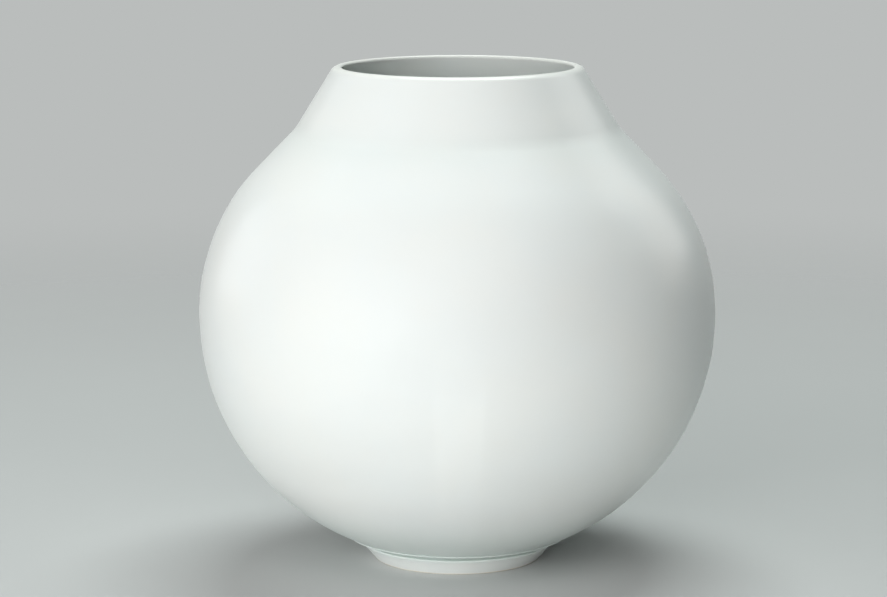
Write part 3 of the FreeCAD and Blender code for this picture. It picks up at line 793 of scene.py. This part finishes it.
grit_colour = add(foot_tree, "ShaderNodeMix", {
    "Factor": grit.outputs["Fac"], "A": linear(226, 219, 204),
    "B": linear(240, 236, 226)}, data_type="RGBA")
with_toast = add(foot_tree, "ShaderNodeMix", {
    "Factor": toasted.outputs["Result"], "A": foot_details.outputs["Color"],
    "B": linear(232, 218, 196)}, data_type="RGBA")
foot_colour = add(foot_tree, "ShaderNodeMix", {
    "Factor": bare.outputs["Result"], "A": with_toast.outputs["Result"],
    "B": grit_colour.outputs["Result"]}, data_type="RGBA")
foot_roughness = add(foot_tree, "ShaderNodeMix", {
    "Factor": bare.outputs["Result"], "A": foot_details.outputs["Roughness"],
    "B": 0.85}, data_type="FLOAT")
foot_tree.links.new(foot_colour.outputs["Result"], foot_shader.inputs["Base Color"])
foot_tree.links.new(foot_roughness.outputs["Result"], foot_shader.inputs["Roughness"])
foot_ring.data.materials.append(foot_glaze)
foot_ring.data.materials.append(bare_porcelain)
print("the glaze ends about 1 mm above the ground")

# %% [markdown]
# ## Floor and background
#
# The stage is a round sheet of pale paper. A photographer would curve the paper up behind the jar so that no
# edge shows, but then the jar could be seen from one side only. Here the paper fades out with distance
# instead, into a background of the same pale grey, and looks the same from all round.

# %% The round floor
FLOOR_RADIUS = 2.4
RINGS, SIDES = 16, 96


def round_floor():
    """A disc in rings: radius * (cos a, sin a, 0), with a point in the middle."""
    angle = np.arange(SIDES) * (2 * math.pi / SIDES)
    radii = np.linspace(0, FLOOR_RADIUS, RINGS + 1)[1:, None]
    rings = np.stack([radii * np.cos(angle), radii * np.sin(angle), 0 * radii * angle], -1).reshape(-1, 3)
    index = np.arange(RINGS * SIDES).reshape(RINGS, SIDES) + 1
    ahead = np.roll(index, -1, axis=1)
    quads = np.stack([index[:-1], index[1:], ahead[1:], ahead[:-1]], -1).reshape(-1, 4)
    middle = np.stack([np.zeros(SIDES, int), index[0], ahead[0]], -1)
    mesh = bpy.data.meshes.new("round_floor")
    mesh.from_pydata([(0, 0, 0)] + rings.tolist(), [], middle.tolist() + quads.tolist())
    disc = bpy.data.objects.new("round_floor", mesh)
    bpy.context.scene.collection.objects.link(disc)
    return disc


floor = round_floor()
print("the floor has", len(floor.data.polygons), "faces")

# %% Paper that fades out
FADE_START, FADE_END = 0.5, 2.2
paper = bpy.data.materials.new("pale_paper")
paper.use_nodes = True
paper_tree = paper.node_tree
paper_shader = paper_tree.nodes["Principled BSDF"]
paper_place = add(paper_tree, "ShaderNodeTexCoord").outputs["Object"]
grain = add(paper_tree, "ShaderNodeTexNoise", {"Vector": paper_place, "Scale": 3.0, "Detail": 2.0})
paper_colour = add(paper_tree, "ShaderNodeMix", {
    "Factor": grain.outputs["Fac"], "A": linear(199, 201, 200),
    "B": linear(203, 205, 204)}, data_type="RGBA")
away = add(paper_tree, "ShaderNodeVectorMath", {0: paper_place}, operation="LENGTH")
fade = add(paper_tree, "ShaderNodeMapRange", {
    "Value": away.outputs["Value"], "From Min": FADE_START, "From Max": FADE_END,
    "To Min": 1.0, "To Max": 0.0}, interpolation_type="SMOOTHSTEP")
paper_tree.links.new(paper_colour.outputs["Result"], paper_shader.inputs["Base Color"])
paper_tree.links.new(fade.outputs["Result"], paper_shader.inputs["Alpha"])
paper_shader.inputs["Roughness"].default_value = 0.9
floor.data.materials.append(paper)

# %% [markdown]
# ## Light
#
# In a studio, a white jar gets one wide window from the left and little else, so that its wall fades slowly
# to the right. Here that window is a large area lamp at the left, on the camera's side. It is split in
# two: the stronger part gives light without a glint, and the weaker part gives the sheen, because a full
# glint would stand out on a wall that reads as one even white. A weaker lamp high in front opens the shade,
# a low one beside the camera shines over the rim into the mouth and leaves no glint, a cool one high behind
# lights shoulder and rim, and a small one at the left brightens that edge. At the right stands a card that
# only the gloss sees: it leaves the broad soft reflection on that side of the belly and adds no light to
# the shade. The room itself is dim, so the shaded side keeps its depth.

# %% Lamps
AIM = Vector((0, 0, 0.21))


def soft_lamp(name, bearing, elevation, distance, size, power, tint=(1.0, 1.0, 1.0)):
    """A rectangular area lamp that faces the jar. Its bearing is in degrees from the camera's side, to the
    right; its elevation is in degrees above the jar's middle; distance and size are in metres."""
    light = bpy.data.lights.new(name, "AREA")
    light.shape = "RECTANGLE"
    light.size, light.size_y = size
    light.energy = power
    light.color = tint
    turn, tilt = math.radians(bearing), math.radians(elevation)
    away = Vector((math.sin(turn) * math.cos(tilt), -math.cos(turn) * math.cos(tilt), math.sin(tilt)))
    lamp = bpy.data.objects.new(name, light)
    lamp.location = AIM + distance * away
    lamp.rotation_euler = away.to_track_quat("Z", "Y").to_euler()
    bpy.context.scene.collection.objects.link(lamp)
    return lamp


SKY = (0.93, 1.0, 0.985)
WARM = (1.0, 0.985, 0.96)
# Each call gives name, bearing, elevation, distance, (width, height), watts and, if not white, the tint
window = soft_lamp("window_left", -38.0, 15.0, 2.8, (3.6, 1.9), 49.5)
window.visible_glossy = False
soft_lamp("window_sheen", -38.0, 15.0, 2.8, (3.6, 1.9), 15.0)
soft_lamp("front_fill", 4.0, 36.0, 2.8, (2.4, 1.8), 12.0)
front_low = soft_lamp("front_low", -8.0, 6.0, 2.8, (1.6, 0.8), 18.5)
front_low.visible_glossy = False
soft_lamp("skylight_behind", 165.0, 70.0, 2.7, (1.8, 1.4), 54.0, SKY)
soft_lamp("left_rim", -115.0, 12.0, 2.6, (1.4, 1.2), 6.0)
right_card = soft_lamp("right_reflection", 119.0, 27.0, 2.2, (1.1, 1.5), 9.0, WARM)
right_card.visible_diffuse = False

# %% [markdown]
# What stands around the scene is its world, and here it has two parts. The camera and the gloss see a plain
# pale grey, so the background is even and the glaze has something to mirror. All other rays get almost no
# light from it, so that the lamps alone shape the jar.

# %% The dim room
BACKGROUND = linear(186, 189, 188)
DIM = (0.01, 0.01, 0.01, 1.0)
room = bpy.data.worlds.new("dim_room")
bpy.context.scene.world = room
room.use_nodes = True
room_tree = room.node_tree
room_shader = room_tree.nodes["Background"]
rays = add(room_tree, "ShaderNodeLightPath")
seen_or_reflected = add(room_tree, "ShaderNodeMath", {
    0: rays.outputs["Is Camera Ray"], 1: rays.outputs["Is Glossy Ray"]}, operation="MAXIMUM")
seen = add(room_tree, "ShaderNodeMath", {
    0: seen_or_reflected.outputs[0], 1: rays.outputs["Is Transmission Ray"]}, operation="MAXIMUM")
room_colour = add(room_tree, "ShaderNodeMix", {
    "Factor": seen.outputs[0], "A": DIM, "B": BACKGROUND}, data_type="RGBA")
room_tree.links.new(room_colour.outputs["Result"], room_shader.inputs["Color"])
room_shader.inputs["Strength"].default_value = 1.0
bpy.context.scene.view_settings.view_transform = "Standard"
print("view transform:", bpy.context.scene.view_settings.view_transform)

# %% [markdown]
# ## Camera
#
# The photograph was taken from about two and a half metres, with a long lens, looking slightly down on the
# jar. Its place was worked out from the jar's outline: the ellipses of lip and foot give the height, and the
# way they differ gives the distance.

# %% The photographer's place
CAMERA_DISTANCE, CAMERA_HEIGHT = 2.5605, 0.6523
LENS, SENSOR = 126.33, 36.0
PITCH, YAW, ROLL = math.radians(9.604), math.radians(-0.256), math.radians(-0.105)
camera_data = bpy.data.cameras.new("camera")
camera_data.lens, camera_data.sensor_width = LENS, SENSOR
camera_data.clip_start, camera_data.clip_end = 0.1, 50.0
camera = bpy.data.objects.new("camera", camera_data)
look = Vector((math.sin(YAW) * math.cos(PITCH), math.cos(YAW) * math.cos(PITCH), -math.sin(PITCH)))
camera.matrix_world = (Matrix.Translation((0, -CAMERA_DISTANCE, CAMERA_HEIGHT))
                       @ look.to_track_quat("-Z", "Y").to_matrix().to_4x4() @ Matrix.Rotation(ROLL, 4, "Z"))
bpy.context.scene.collection.objects.link(camera)
bpy.context.scene.camera = camera
print("camera at", [round(c, 3) for c in camera.location])

# %% Finish
bpy.context.view_layer.update()
